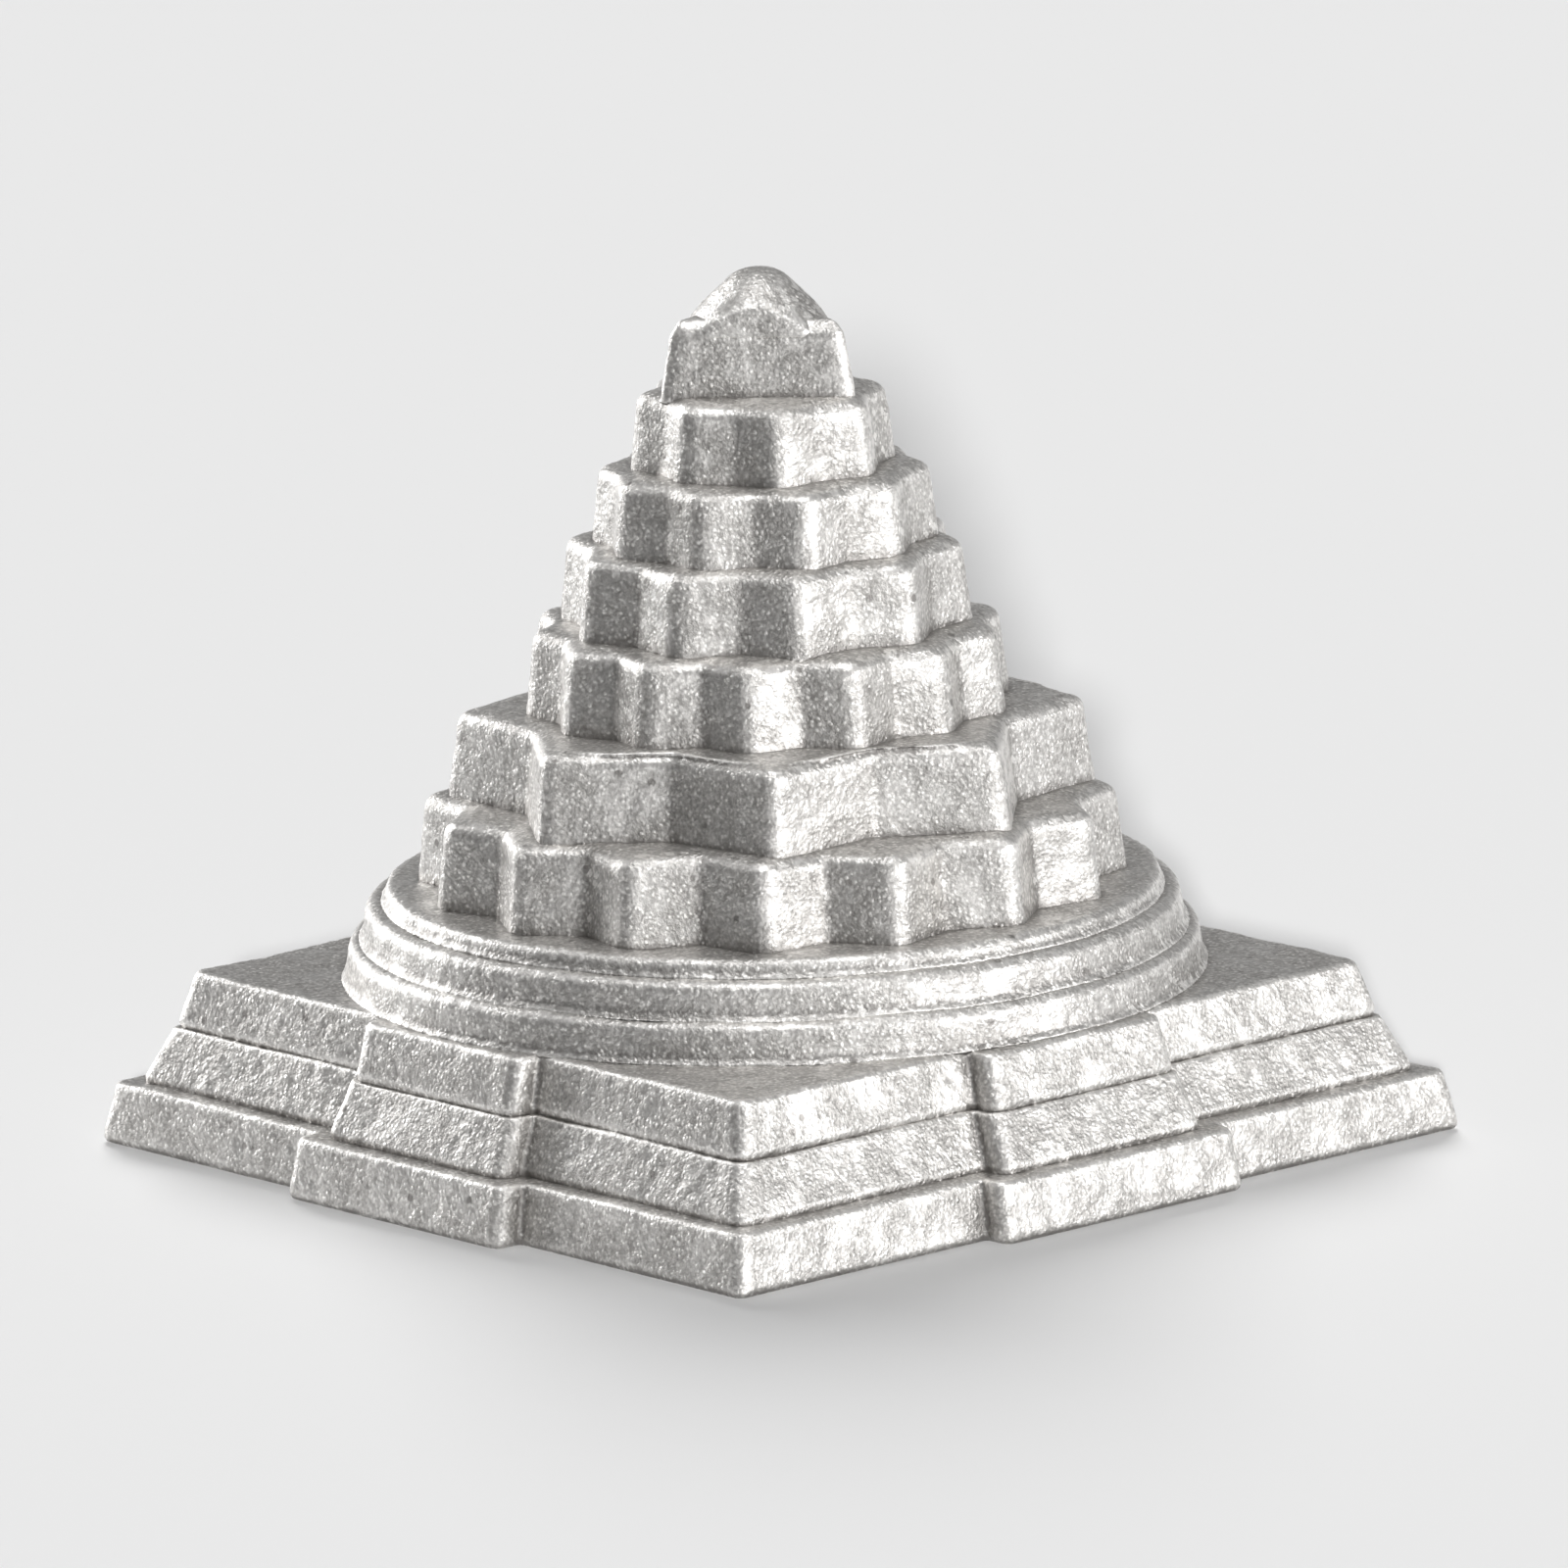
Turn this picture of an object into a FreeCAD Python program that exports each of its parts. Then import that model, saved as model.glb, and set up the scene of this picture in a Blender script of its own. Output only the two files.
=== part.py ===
import FreeCAD, Part

import math
import os

from FreeCAD import Vector

# Meru shri yantra: three square steps with gates, three round steps, seven tiers and a dome.
# Millimetres and degrees. +Z is up, the origin is the middle of the underside, and the sides of
# the square run along X and Y. Every piece is seated flat on the one below it.

# Square steps. A side is measured at the foot, between the gates' roots, and a ledge is the flat
# that a step leaves free on the rim of the step below it.
LOWER_SQUARE_SIDE = 32.35
LOWER_SQUARE_HEIGHT = 2.07
LOWER_SQUARE_DRAFT = 9.9
LOWER_GATE_WIDTH = 10.8

MIDDLE_SQUARE_LEDGE = 0.68
MIDDLE_SQUARE_HEIGHT = 1.86
MIDDLE_SQUARE_DRAFT = 17.9
MIDDLE_GATE_WIDTH = 8.9

UPPER_SQUARE_LEDGE = 0.27
UPPER_SQUARE_HEIGHT = 1.86
UPPER_SQUARE_DRAFT = 11.6
UPPER_GATE_WIDTH = 8.1

# A gate is a low block that stands out from the middle of each side, as high as its step.
GATE_PROJECTION = 0.98
GATE_END_DRAFT = 5.5

SQUARE_CORNER_ROUND = 0.5
GATE_CORNER_ROUND = 0.4
GATE_ROOT_ROUND = 0.15
SQUARE_RIM_ROUND = 0.28
UNDERSIDE_ROUND = 0.3

# Round steps. The lower circle runs out onto the tops of the gates, and its margin is what stays
# free between it and their fronts.
LOWER_ROUND_MARGIN = 0.6
LOWER_ROUND_HEIGHT = 1.34
MIDDLE_ROUND_LEDGE = 0.43
MIDDLE_ROUND_HEIGHT = 1.22
UPPER_ROUND_LEDGE = 0.58
UPPER_ROUND_HEIGHT = 0.6
ROUND_STEP_DRAFT = 8.0
ROUND_RIM_ROUND = 0.3

# Star tiers, measured at the foot: how many tips, how far out they reach and how deep the notches
# between them are. A turn is counted from the near corner of the square, between +X and -Y, to the
# tip of the tier beside it, anticlockwise seen from above.
SIXTEEN_COUNT = 16
SIXTEEN_TIP_RADIUS = 11.95
SIXTEEN_NOTCH_DEPTH = 1.3
SIXTEEN_HEIGHT = 2.78
SIXTEEN_TURN = 1.7

EIGHT_PETAL_COUNT = 8
EIGHT_PETAL_TIP_RADIUS = 10.9
EIGHT_PETAL_NOTCH_DEPTH = 2.15
EIGHT_PETAL_HEIGHT = 2.89
EIGHT_PETAL_TURN = 3.9

FOURTEEN_COUNT = 14
FOURTEEN_TIP_RADIUS = 8.25
FOURTEEN_NOTCH_DEPTH = 0.8
FOURTEEN_HEIGHT = 2.85
FOURTEEN_TURN = -1.0

OUTER_TEN_COUNT = 10
OUTER_TEN_TIP_RADIUS = 7.05
OUTER_TEN_NOTCH_DEPTH = 0.9
OUTER_TEN_HEIGHT = 2.72
OUTER_TEN_TURN = 13.2

INNER_TEN_COUNT = 10
INNER_TEN_TIP_RADIUS = 5.85
INNER_TEN_NOTCH_DEPTH = 0.65
INNER_TEN_HEIGHT = 2.5
INNER_TEN_TURN = 17.6

EIGHT_POINT_COUNT = 8
EIGHT_POINT_TIP_RADIUS = 4.55
EIGHT_POINT_NOTCH_DEPTH = 0.65
EIGHT_POINT_HEIGHT = 2.56
EIGHT_POINT_TURN = 11.3

STAR_DRAFT = 5.7
STAR_TIP_ROUND = 0.32
STAR_NOTCH_ROUND = 0.12
STAR_RIM_ROUND = 0.2

# Triangle and dome. The dome is a blunt cone that the three faces of the triangle cut off.
TRIANGLE_TIP_RADIUS = 4.1
TRIANGLE_HEIGHT = 2.34
TRIANGLE_TURN = 59.5
TRIANGLE_TIP_ROUND = 0.45
DOME_FOOT_RADIUS = 2.5
DOME_CROWN_RADIUS = 0.75
DOME_HEIGHT = 1.83

NEAR_CORNER_ANGLE = -45.0
QUARTER_TURN = 90.0
FULL_TURN = 360.0
SQUARE_SIDE_COUNT = 4
TRIANGLE_SIDE_COUNT = 3


def inset(height, draft):
    """How far a drafted face leans in over its height."""
    return height * math.tan(math.radians(draft))


def turned(point, angle):
    """A plan point turned about the middle."""
    x, y = point
    cosine = math.cos(math.radians(angle))
    sine = math.sin(math.radians(angle))
    return (x * cosine - y * sine, x * sine + y * cosine)


def gated_square(side, gate_width):
    """Plan outline of a square with a gate standing out of the middle of each side."""
    half_side = side / 2
    half_gate = gate_width / 2
    gate_front = half_side + GATE_PROJECTION
    one_side = [
        (half_side, -half_side),
        (half_side, -half_gate),
        (gate_front, -half_gate),
        (gate_front, half_gate),
        (half_side, half_gate),
    ]
    return [turned(point, QUARTER_TURN * turn) for turn in range(SQUARE_SIDE_COUNT) for point in one_side]


def polar_outline(radii, copies, angle):
    """Plan outline whose corners stand at the given radii in turn, evenly round the middle."""
    step = FULL_TURN / (copies * len(radii))
    corners = range(copies * len(radii))
    return [turned((radii[i % len(radii)], 0), angle + step * i) for i in corners]


def face_distance(outline):
    """Distance from the middle to the line of the outline's first side."""
    (ax, ay), (bx, by) = outline[0], outline[1]
    return abs(ax * by - ay * bx) / math.hypot(bx - ax, by - ay)


def scaled(outline, scale):
    return [(x * scale, y * scale) for x, y in outline]


def flat_face(corners):
    """Flat face whose corners are listed anticlockwise as seen from outside the solid."""
    return Part.Face(Part.makePolygon(corners + corners[:1]))


def drafted_block(foot, rim, foot_level, height):
    """Solid between a foot outline and a rim outline whose sides run parallel to it."""
    low = [Vector(x, y, foot_level) for x, y in foot]
    high = [Vector(x, y, foot_level + height) for x, y in rim]
    faces = [flat_face(low[::-1]), flat_face(high)]
    for i in range(len(low)):
        j = (i + 1) % len(low)
        faces.append(flat_face([low[i], low[j], high[j], high[i]]))
    return Part.Solid(Part.Shell(faces))


def upright_edges(solid, chosen):
    """Edges that climb the sides of a block, where chosen agrees with the place of their middle."""
    half_height = solid.BoundBox.ZLength / 2
    climbing = [edge for edge in solid.Edges if edge.BoundBox.ZLength > half_height]
    return [edge for edge in climbing if chosen(edge.CenterOfMass)]


def rim_edges(solid):
    middle = solid.BoundBox.Center.z
    return [edge for edge in solid.Edges if edge.BoundBox.ZMin > middle]


def underside_edges(solid):
    middle = solid.BoundBox.Center.z
    return [edge for edge in solid.Edges if edge.BoundBox.ZMax < middle]


def square_step(side, height, draft, gate_width, foot_level):
    """One step of the base, with its corners, gate corners and rim rounded."""
    lean = inset(height, draft)
    end_lean = inset(height, GATE_END_DRAFT)
    foot = gated_square(side, gate_width)
    rim = gated_square(side - 2 * lean, gate_width - 2 * end_lean)
    solid = drafted_block(foot, rim, foot_level, height)

    half_side = (side - lean) / 2
    half_gate = gate_width / 2

    def on_corner(place):
        return min(abs(place.x), abs(place.y)) > half_gate + GATE_PROJECTION

    def on_gate_front(place):
        return max(abs(place.x), abs(place.y)) > half_side + GATE_PROJECTION / 2

    def on_gate_root(place):
        return not on_corner(place) and not on_gate_front(place)

    solid = solid.makeFillet(SQUARE_CORNER_ROUND, upright_edges(solid, on_corner))
    solid = solid.makeFillet(GATE_CORNER_ROUND, upright_edges(solid, on_gate_front))
    solid = solid.makeFillet(GATE_ROOT_ROUND, upright_edges(solid, on_gate_root))
    return solid.makeFillet(SQUARE_RIM_ROUND, rim_edges(solid))


def round_step(radius, height, foot_level):
    """One of the three circles: a low drafted disc with a rounded rim."""
    rim_radius = radius - inset(height, ROUND_STEP_DRAFT)
    solid = Part.makeCone(radius, rim_radius, height, Vector(0, 0, foot_level))
    return solid.makeFillet(ROUND_RIM_ROUND, rim_edges(solid))


def star_tier(count, tip_radius, notch_depth, height, turn, foot_level):
    """A star-shaped block with softened tips, notches and rim."""
    notch_radius = tip_radius - notch_depth
    foot = polar_outline([tip_radius, notch_radius], count, NEAR_CORNER_ANGLE + turn)
    scale = 1 - inset(height, STAR_DRAFT) / face_distance(foot)
    solid = drafted_block(foot, scaled(foot, scale), foot_level, height)
    middle_radius = (tip_radius + notch_radius) / 2 * (1 + scale) / 2

    def on_tip(place):
        return math.hypot(place.x, place.y) > middle_radius

    def on_notch(place):
        return not on_tip(place)

    solid = solid.makeFillet(STAR_TIP_ROUND, upright_edges(solid, on_tip))
    solid = solid.makeFillet(STAR_NOTCH_ROUND, upright_edges(solid, on_notch))
    return solid.makeFillet(STAR_RIM_ROUND, rim_edges(solid))


pieces = {}
level = 0

# Base
middle_square_side = (
    LOWER_SQUARE_SIDE - 2 * inset(LOWER_SQUARE_HEIGHT, LOWER_SQUARE_DRAFT) - 2 * MIDDLE_SQUARE_LEDGE
)
upper_square_side = (
    middle_square_side - 2 * inset(MIDDLE_SQUARE_HEIGHT, MIDDLE_SQUARE_DRAFT) - 2 * UPPER_SQUARE_LEDGE
)
lower_square = square_step(
    LOWER_SQUARE_SIDE, LOWER_SQUARE_HEIGHT, LOWER_SQUARE_DRAFT, LOWER_GATE_WIDTH, level
)
pieces["lower_square_step"] = lower_square.makeFillet(UNDERSIDE_ROUND, underside_edges(lower_square))
level += LOWER_SQUARE_HEIGHT
pieces["middle_square_step"] = square_step(
    middle_square_side, MIDDLE_SQUARE_HEIGHT, MIDDLE_SQUARE_DRAFT, MIDDLE_GATE_WIDTH, level
)
level += MIDDLE_SQUARE_HEIGHT
pieces["upper_square_step"] = square_step(
    upper_square_side, UPPER_SQUARE_HEIGHT, UPPER_SQUARE_DRAFT, UPPER_GATE_WIDTH, level
)
level += UPPER_SQUARE_HEIGHT

# Circles
upper_gate_front = (
    upper_square_side / 2 - inset(UPPER_SQUARE_HEIGHT, UPPER_SQUARE_DRAFT) + GATE_PROJECTION
)
lower_round_radius = upper_gate_front - LOWER_ROUND_MARGIN
middle_round_radius = (
    lower_round_radius - inset(LOWER_ROUND_HEIGHT, ROUND_STEP_DRAFT) - MIDDLE_ROUND_LEDGE
)
upper_round_radius = (
    middle_round_radius - inset(MIDDLE_ROUND_HEIGHT, ROUND_STEP_DRAFT) - UPPER_ROUND_LEDGE
)
round_sizes = {
    "lower_round_step": (lower_round_radius, LOWER_ROUND_HEIGHT),
    "middle_round_step": (middle_round_radius, MIDDLE_ROUND_HEIGHT),
    "upper_round_step": (upper_round_radius, UPPER_ROUND_HEIGHT),
}
for name, (radius, height) in round_sizes.items():
    pieces[name] = round_step(radius, height, level)
    level += height

# Stars
star_sizes = {
    "sixteen_petal_tier": (
        SIXTEEN_COUNT, SIXTEEN_TIP_RADIUS, SIXTEEN_NOTCH_DEPTH, SIXTEEN_HEIGHT, SIXTEEN_TURN
    ),
    "eight_petal_tier": (
        EIGHT_PETAL_COUNT,
        EIGHT_PETAL_TIP_RADIUS,
        EIGHT_PETAL_NOTCH_DEPTH,
        EIGHT_PETAL_HEIGHT,
        EIGHT_PETAL_TURN,
    ),
    "fourteen_point_tier": (
        FOURTEEN_COUNT, FOURTEEN_TIP_RADIUS, FOURTEEN_NOTCH_DEPTH, FOURTEEN_HEIGHT, FOURTEEN_TURN
    ),
    "outer_ten_point_tier": (
        OUTER_TEN_COUNT, OUTER_TEN_TIP_RADIUS, OUTER_TEN_NOTCH_DEPTH, OUTER_TEN_HEIGHT, OUTER_TEN_TURN
    ),
    "inner_ten_point_tier": (
        INNER_TEN_COUNT, INNER_TEN_TIP_RADIUS, INNER_TEN_NOTCH_DEPTH, INNER_TEN_HEIGHT, INNER_TEN_TURN
    ),
    "eight_point_tier": (
        EIGHT_POINT_COUNT,
        EIGHT_POINT_TIP_RADIUS,
        EIGHT_POINT_NOTCH_DEPTH,
        EIGHT_POINT_HEIGHT,
        EIGHT_POINT_TURN,
    ),
}
for name, (count, tip_radius, notch_depth, height, turn) in star_sizes.items():
    pieces[name] = star_tier(count, tip_radius, notch_depth, height, turn, level)
    level += height

# Triangle
triangle_foot = polar_outline([TRIANGLE_TIP_RADIUS], TRIANGLE_SIDE_COUNT, NEAR_CORNER_ANGLE + TRIANGLE_TURN)
triangle_face = face_distance(triangle_foot)
triangle_scale = 1 - inset(TRIANGLE_HEIGHT, STAR_DRAFT) / triangle_face
triangle_rim = scaled(triangle_foot, triangle_scale)
triangle = drafted_block(triangle_foot, triangle_rim, level, TRIANGLE_HEIGHT)
every_tip = upright_edges(triangle, lambda place: True)
pieces["triangle_tier"] = triangle.makeFillet(TRIANGLE_TIP_ROUND, every_tip)
level += TRIANGLE_HEIGHT

# Dome
profile = Part.BezierCurve()
profile.setPoles([
    Vector(0, 0, level + DOME_HEIGHT),
    Vector(DOME_CROWN_RADIUS, 0, level + DOME_HEIGHT),
    Vector(DOME_FOOT_RADIUS, 0, level),
])
apex, foot_end, centre = profile.getPole(1), profile.getPole(3), Vector(0, 0, level)
outline = Part.Wire([
    profile.toShape(), Part.makeLine(foot_end, centre), Part.makeLine(centre, apex)
])
dome = Part.Face(outline).revolve(centre, Vector(0, 0, 1), FULL_TURN)
dome_scale = 1 - inset(DOME_HEIGHT, STAR_DRAFT) / face_distance(triangle_rim)
cut_faces = drafted_block(triangle_rim, scaled(triangle_rim, dome_scale), level, DOME_HEIGHT)
pieces["bindu_dome"] = dome.common(cut_faces).Solids[0]

os.makedirs("parts", exist_ok=True)
for name, shape in pieces.items():
    shape.exportStep("parts/" + name + ".step")
    print(name, "valid", shape.isValid(), "volume", round(shape.Volume, 2))
print("height", round(level + DOME_HEIGHT, 3))
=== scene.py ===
import math
import random

import bmesh
import bpy
from bpy.props import FloatProperty, IntProperty, PointerProperty, StringProperty
from bpy.types import Operator, Panel, PropertyGroup
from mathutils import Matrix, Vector


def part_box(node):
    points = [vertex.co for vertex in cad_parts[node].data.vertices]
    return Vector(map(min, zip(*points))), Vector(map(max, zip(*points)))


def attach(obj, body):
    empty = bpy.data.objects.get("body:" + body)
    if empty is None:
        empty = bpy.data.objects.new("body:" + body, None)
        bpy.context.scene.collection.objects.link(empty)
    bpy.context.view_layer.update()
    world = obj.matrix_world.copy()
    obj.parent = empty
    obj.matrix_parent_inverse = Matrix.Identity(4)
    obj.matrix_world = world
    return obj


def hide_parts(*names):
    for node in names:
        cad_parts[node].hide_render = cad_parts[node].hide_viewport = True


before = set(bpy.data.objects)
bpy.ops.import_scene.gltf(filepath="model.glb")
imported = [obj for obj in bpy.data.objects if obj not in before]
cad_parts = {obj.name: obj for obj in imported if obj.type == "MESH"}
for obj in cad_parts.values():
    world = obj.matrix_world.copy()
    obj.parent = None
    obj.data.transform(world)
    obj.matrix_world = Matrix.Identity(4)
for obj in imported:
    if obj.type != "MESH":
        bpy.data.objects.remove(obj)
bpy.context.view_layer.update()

bl_info = {
    "name": "Meru Shri Yantra",
    "version": (1, 0, 0),
    "blender": (4, 5, 0),
    "location": "3D View > Sidebar > Yantra",
    "description": "Builds a sand-cast silver meru shri yantra, tier by tier, on its studio floor",
    "category": "Add Mesh",
}

# Lengths are millimetres while a piece is modelled, and metres once it is finished.
MM_PER_M = 1000.0
ORIGIN = (0.0, 0.0, 0.0)
UP = Vector((0, 0, 1))

# A face points some way when its normal's share of that way is over FACING, and it is a wall when
# its upright share is under WALL.
FACING = 0.9
WALL = 0.5

# How far inside the foot of the next piece the hidden seat below it begins, in millimetres.
SEAT_MARGIN = 0.3

# Sides of the circles and bevels that the skin is then laid over.
ROUND_SIDES = 180
DOME_SIDES = 64
BEVEL_STEPS = 3
TRIANGLE_BEVEL_STEPS = 5

# Smoothing passes over a piece's skin, which round off its edges.
SOFTENING = 3
TRIANGLE_SOFTENING = 6
DOME_SOFTENING = 22

# The mean of a lump pattern, at which it leaves the skin where it is.
RELIEF_MIDDLE = 0.55

# How many specks of the finer dust lie across one grain.
DUST_PER_GRAIN = 1.3

# Every piece from the floor up, and how many tips each star has.
STAR_TIPS = {
    "sixteen_petal_tier": 16,
    "eight_petal_tier": 8,
    "fourteen_point_tier": 14,
    "outer_ten_point_tier": 10,
    "inner_ten_point_tier": 10,
    "eight_point_tier": 8,
}
SQUARE_STEPS = ["lower_square_step", "middle_square_step", "upper_square_step"]
ROUND_STEPS = ["lower_round_step", "middle_round_step", "upper_round_step"]
STACK = SQUARE_STEPS + ROUND_STEPS + list(STAR_TIPS) + ["triangle_tier", "bindu_dome"]

# The dark boards: azimuth from the camera in degrees, then height of the middle, width and height
# in metres. One more lies on the paper, and shows in the walls that look down at it.
BOARD_DISTANCE = 0.22
BOARDS = (
    ("board_left", -88, 0.055, 0.16, 0.075),
    ("board_front", -50, 0.06, 0.155, 0.12),
    ("camera_back", 0, 0.085, 0.06, 0.05),
)
PAPER_BOARD_AZIMUTH = -50
PAPER_BOARD_DISTANCE = 0.135
PAPER_BOARD_LIFT = 0.0005
PAPER_BOARD_SIZE = (0.19, 0.17)

# The softboxes: azimuth from the camera and elevation in degrees, width and height in metres, and
# brightness, where 1 is as bright as white paper.
SOFTBOX_DISTANCE = 0.5
SOFTBOXES = (
    ("key_right", 57, 12, 0.48, 0.23, 3.8),
    ("back_right", 118, 12, 0.2, 0.2, 0.8),
    ("back_left", -130, 18, 0.26, 0.36, 4.0),
    ("front_top", 5, 72, 0.3, 0.3, 2.8),
    ("front_low", 6, 3, 0.26, 0.08, 2.1),
)

# The far lamps: azimuth from the camera, elevation and spread in degrees, and strength.
FAR_LIGHTS = (
    ("light_behind", -176, 38, 30, 2.6),
    ("light_in_front", -1.5, 12.6, 2.4, 5.76),
)

# The paper floor's side in metres, how high up the room its wall is greyest, from 0 at the horizon
# to 1 overhead, and how strongly the room lights the paper.
FLOOR_SIZE = 6.0
WALL_LEVEL = 0.2
ROOM_LIGHT = 0.1


# Sizes and colours that a user would change

class YantraSizes(PropertyGroup):
    mesh_pitch: FloatProperty(
        name="Mesh pitch", description="Spacing of the finished skin, in millimetres",
        default=0.078, min=0.04, max=0.4,
    )
    quick_pitch: FloatProperty(
        name="Quick pitch", description="Spacing of the skin while trying things, in millimetres",
        default=0.14, min=0.04, max=0.4,
    )
    tip_round: FloatProperty(
        name="Tip rounding", description="Bevel of the upright edges of a star, in millimetres",
        default=0.46, min=0.05, max=1.0,
    )
    gate_round: FloatProperty(
        name="Gate rounding", description="Bevel of the corners of a gate, in millimetres",
        default=0.45, min=0.05, max=1.0,
    )
    notch_round: FloatProperty(
        name="Notch rounding", description="Bevel down the notches of a star, in millimetres",
        default=0.14, min=0.02, max=1.0,
    )
    rim_round: FloatProperty(
        name="Rim rounding",
        description="Bevel of a star's top edge and of the base's bottom edge, in millimetres",
        default=0.32, min=0.05, max=1.0,
    )
    step_round: FloatProperty(
        name="Step rounding",
        description="Bevel of the top edge of a circle or the triangle, in millimetres",
        default=0.36, min=0.05, max=1.0,
    )
    square_round: FloatProperty(
        name="Square rounding", description="Bevel round the top edge of a square, in millimetres",
        default=0.16, min=0.05, max=1.0,
    )
    triangle_round: FloatProperty(
        name="Triangle rounding", description="Radius of the triangle's tips, in millimetres",
        default=0.45, min=0.05, max=1.0,
    )
    cap_radius: FloatProperty(
        name="Cap radius", description="Radius of the ball at the tip of the dome, in millimetres",
        default=1.6, min=0.1, max=2.0,
    )
    foot_reach: FloatProperty(
        name="Foot reach", description="How far the foot of a circle runs out, in millimetres",
        default=0.17, min=0.0, max=1.0,
    )
    groove_depth: FloatProperty(
        name="Groove depth", description="How far the foot of a square cuts in, in millimetres",
        default=0.15, min=0.0, max=0.5,
    )
    foot_rise: FloatProperty(
        name="Foot rise", description="Height of the sloping foot of a step, in millimetres",
        default=0.2, min=0.0, max=1.0,
    )
    ledge_run: FloatProperty(
        name="Ledge run", description="Width of the sloping edge of a ledge, in millimetres",
        default=0.65, min=0.0, max=2.0,
    )
    ledge_rise: FloatProperty(
        name="Ledge rise", description="How far a ledge climbs to the next wall, in millimetres",
        default=0.15, min=0.0, max=1.0,
    )
    shoulder_run: FloatProperty(
        name="Shoulder run",
        description="Width of the slope round the triangle's top, in millimetres",
        default=0.4, min=0.0, max=1.0,
    )
    shoulder_rise: FloatProperty(
        name="Shoulder rise",
        description="How far the triangle's top climbs to the dome, in millimetres",
        default=0.3, min=0.0, max=1.0,
    )
    corner_round: FloatProperty(
        name="Corner rounding", description="Bevel of the corners of a square step, in millimetres",
        default=0.45, min=0.05, max=2.0,
    )
    seat_depth: FloatProperty(
        name="Seat depth", description="How far a foot runs into the piece below, in millimetres",
        default=0.08, min=0.0, max=0.3,
    )
    wave_size: FloatProperty(
        name="Wave size", description="Width of the slow waves of the casting, in millimetres",
        default=3.0, min=0.2, max=9.0,
    )
    wave_height: FloatProperty(
        name="Wave height", description="Height of the slow waves, in millimetres",
        default=0.13, min=0.0, max=0.5,
    )
    lump_size: FloatProperty(
        name="Lump size", description="Width of the lumps on a wall, in millimetres",
        default=0.5, min=0.1, max=3.0,
    )
    lump_height: FloatProperty(
        name="Lump height", description="Height of the lumps, in millimetres",
        default=0.05, min=0.0, max=0.5,
    )
    patch_size: FloatProperty(
        name="Patch size", description="Width of the sandier patches of the skin, in millimetres",
        default=4 / 3, min=0.2, max=9.0,
    )
    grain_size: FloatProperty(
        name="Grain size", description="Width of one grain of the sand mould, in millimetres",
        default=0.165, min=0.05, max=1.0,
    )
    grain_height: FloatProperty(
        name="Grain height", description="Height of one grain, in millimetres",
        default=0.044, min=0.0, max=0.3,
    )
    # Reach of the painted shade that ambient occlusion lays in corners.
    crevice_shade_reach: FloatProperty(
        name="Tarnish reach", description="How far tarnish creeps out of a corner, in millimetres",
        default=0.5, min=0.05, max=3.0,
    )
    pit_spacing: FloatProperty(
        name="Pit spacing", description="From one dark gas pit to the next, in millimetres",
        default=1.6, min=0.2, max=9.0,
    )
    wobble: FloatProperty(
        name="Wobble", description="How far a hand-cut tip strays from its place, in millimetres",
        default=0.08, min=0.0, max=0.5,
    )


class YantraColours(PropertyGroup):
    silver: StringProperty(
        name="Silver", description="Clean cast silver, as an sRGB hex value", default="#f4f2ef",
    )
    # The dark end of the silver's colour: dull silver in the pits, and painted shade in corners and
    # hollows.
    tarnish_and_shade: StringProperty(
        name="Tarnish", description="Silver dulled in the pits, as an sRGB hex value",
        default="#9d9a97",
    )
    floor: StringProperty(
        name="Floor", description="Pale paper floor, as an sRGB hex value", default="#e8e8e8",
    )
    wall: StringProperty(
        name="Wall", description="Grey wall of the studio, as an sRGB hex value",
        default="#868686",
    )
    ceiling: StringProperty(
        name="Ceiling", description="Ceiling of the studio, as an sRGB hex value",
        default="#bcbcbc",
    )
    flag: StringProperty(
        name="Flag", description="Dark studio boards, as an sRGB hex value", default="#747474",
    )


# Measuring the frame

def mesh_points(node):
    """A CAD node's vertices, in millimetres."""
    return [vertex.co * MM_PER_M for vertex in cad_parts[node].data.vertices]


def foot_and_height(node):
    low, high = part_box(node)
    return low.z * MM_PER_M, (high.z - low.z) * MM_PER_M


def plan_radius(point):
    return math.hypot(point.x, point.y)


def foot_points(node):
    """The points round the foot of a CAD node, above the rounded edge of its underside."""
    foot, height = foot_and_height(node)
    lower = [point for point in mesh_points(node) if point.z < foot + height / 2]
    near_rim = 0.999 * max(plan_radius(point) for point in lower)
    level = min(point.z for point in lower if plan_radius(point) > near_rim)
    near = height / 100
    return [point for point in lower if abs(point.z - level) < near]


def lean_of(node):
    """How far the sides lean in for each millimetre of height, measured on the outermost points."""
    foot, height = foot_and_height(node)
    widest = max(plan_radius(point) for point in foot_points(node))
    upper = [point for point in mesh_points(node) if point.z > foot + height / 2]
    shoulder = max(upper, key=plan_radius)
    return (widest - plan_radius(shoulder)) / (shoulder.z - foot)


def turn_of(node, tips):
    """The angle of a tip of a star, from the points of its foot that reach out farthest."""
    points = foot_points(node)
    near_tip = 0.98 * max(plan_radius(point) for point in points)
    ends = [math.atan2(p.y, p.x) for p in points if plan_radius(p) > near_tip]
    east = sum(math.cos(tips * end) for end in ends)
    north = sum(math.sin(tips * end) for end in ends)
    return math.atan2(north, east) / tips


# Working in edit mode

def deselect_everything():
    if bpy.context.object and bpy.context.object.mode != "OBJECT":
        bpy.ops.object.mode_set(mode="OBJECT")
    bpy.ops.object.select_all(action="DESELECT")


def place_of(element):
    """Middle of an edge or a face."""
    if isinstance(element, bmesh.types.BMEdge):
        return (element.verts[0].co + element.verts[1].co) / 2
    return element.calc_center_median()


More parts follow.
